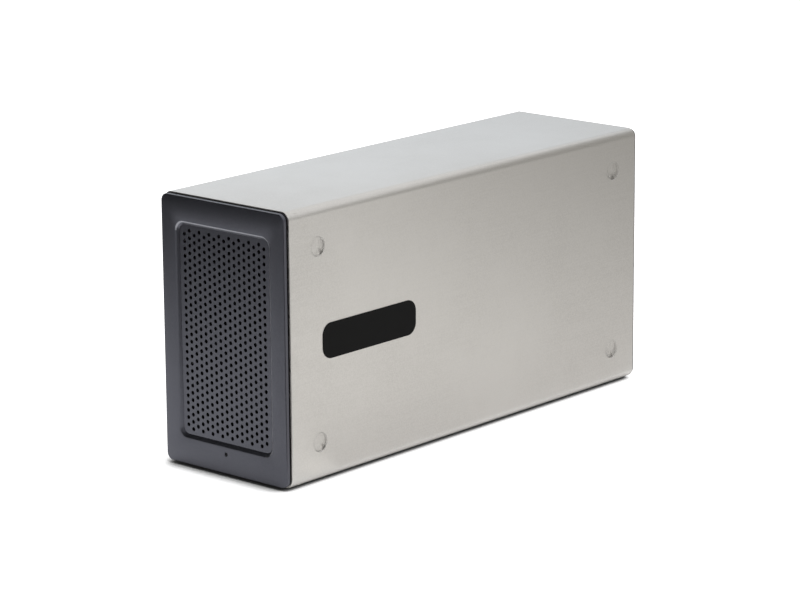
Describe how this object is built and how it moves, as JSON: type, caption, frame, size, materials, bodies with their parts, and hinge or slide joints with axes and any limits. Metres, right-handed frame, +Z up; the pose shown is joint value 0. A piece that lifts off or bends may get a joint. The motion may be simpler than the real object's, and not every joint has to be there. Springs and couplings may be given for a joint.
{
  "type": "pcie expansion chassis",
  "caption": "Desktop expansion chassis for two full-height PCIe cards: satin metal sleeve, dark perforated front, slide-out tray with fans, card slots and captive thumbscrews.",
  "frame": {"origin": "on the surface that the pads stand on, under the centre of the whole object's box", "axes": "+X to the right seen from the front, +Y from the perforated front to the back, +Z up"},
  "size_m": [0.0852, 0.2808, 0.138],
  "materials": {
    "metal_shell": "satin, finely blasted",
    "graphite_front": "satin",
    "black_metal": "satin",
    "plain_steel": "satin",
    "black_plastic": "fine texture",
    "badge_black": "satin",
    "clear_pad": "clear and soft",
    "clear_rod": "clear",
    "board": "solder mask",
    "black_chip": "moulded",
    "header_plastic": "moulded",
    "bright_nickel": "plated",
    "black_fin": "anodised",
    "silver_fin": "plain",
    "can": "plain",
    "ferrite": "pressed",
    "lamp": "clear"
  },
  "bodies": {
    "housing": {"sleeve": "metal_shell", "bezel": "graphite_front", "grille": "graphite_front", "front_frame": "black_plastic", "bezel_screws": "plain_steel", "light_pipe": "clear_rod", "side_badge": "badge_black", "base_pads": "clear_pad", "side_pads": "clear_pad"},
    "tray": {"tray_floor": "plain_steel", "rear_panel": "black_metal", "panel_screws": "black_metal", "slot_frame": "plain_steel", "frame_rivets": "plain_steel", "slot_cover_1": "plain_steel", "slot_cover_2": "plain_steel", "cover_screws": "plain_steel", "fan_bracket": "plain_steel", "bracket_screws": "plain_steel", "lower_fan_frame": "black_plastic", "upper_fan_frame": "black_plastic", "fan_screws": "black_metal", "standoffs": "bright_nickel", "main_board": "board", "board_screws": "plain_steel", "card_connector_1": "black_chip", "card_connector_2": "black_chip", "controller_heatsink": "black_fin", "bridge_heatsink": "silver_fin", "coils": "ferrite", "capacitors": "can", "board_chips": "black_chip", "usb_c_ports": "bright_nickel", "power_jack": "black_chip", "fan_headers": "header_plastic", "fan_cables": "black_plastic", "light_board": "board", "status_light": "lamp"},
    "lower_impeller": {"lower_impeller": "black_plastic"},
    "upper_impeller": {"upper_impeller": "black_plastic"},
    "card_latch_1": {"card_latch_1": "black_plastic"},
    "card_latch_2": {"card_latch_2": "black_plastic"},
    "left_ring": {"left_ring": "plain_steel"},
    "left_thumbscrew": {"left_thumbscrew": "plain_steel"},
    "right_ring": {"right_ring": "plain_steel"},
    "right_thumbscrew": {"right_thumbscrew": "plain_steel"}
  },
  "joints": [
    {"name": "tray_slide", "type": "slide", "parent": "housing", "child": "tray", "axis": [0, 1, 0], "range_m": [0, 0.24]},
    {"name": "lower_fan_spin", "type": "hinge", "parent": "tray", "child": "lower_impeller", "pos_m": [0, -0.1175, 0.0371], "axis": [0, 1, 0], "continuous": true},
    {"name": "upper_fan_spin", "type": "hinge", "parent": "tray", "child": "upper_impeller", "pos_m": [0, -0.1175, 0.0971], "axis": [0, 1, 0], "continuous": true},
    {"name": "card_latch_1_tilt", "type": "hinge", "parent": "tray", "child": "card_latch_1", "pos_m": [-0.00151, -0.0208, 0.0153], "axis": [1, 0, 0], "range_deg": [0, 25]},
    {"name": "card_latch_2_tilt", "type": "hinge", "parent": "tray", "child": "card_latch_2", "pos_m": [-0.02183, -0.0208, 0.0153], "axis": [1, 0, 0], "range_deg": [0, 25]},
    {"name": "left_screw_travel", "type": "slide", "parent": "tray", "child": "left_ring", "axis": [0, 1, 0], "range_m": [0, 0.00476]},
    {"name": "left_screw_turn", "type": "hinge", "parent": "left_ring", "child": "left_thumbscrew", "pos_m": [-0.03145, 0.13, 0.1309], "axis": [0, 1, 0], "range_deg": [0, 2160]},
    {"name": "right_screw_travel", "type": "slide", "parent": "tray", "child": "right_ring", "axis": [0, 1, 0], "range_m": [0, 0.00476]},
    {"name": "right_screw_turn", "type": "hinge", "parent": "right_ring", "child": "right_thumbscrew", "pos_m": [0.03145, 0.13, 0.1309], "axis": [0, 1, 0], "range_deg": [0, 2160]}
  ],
  "couplings": [
    {"joint": "left_screw_turn", "follows": "left_screw_travel", "rad_per_m": 7915.8},
    {"joint": "right_screw_turn", "follows": "right_screw_travel", "rad_per_m": 7915.8}
  ]
}
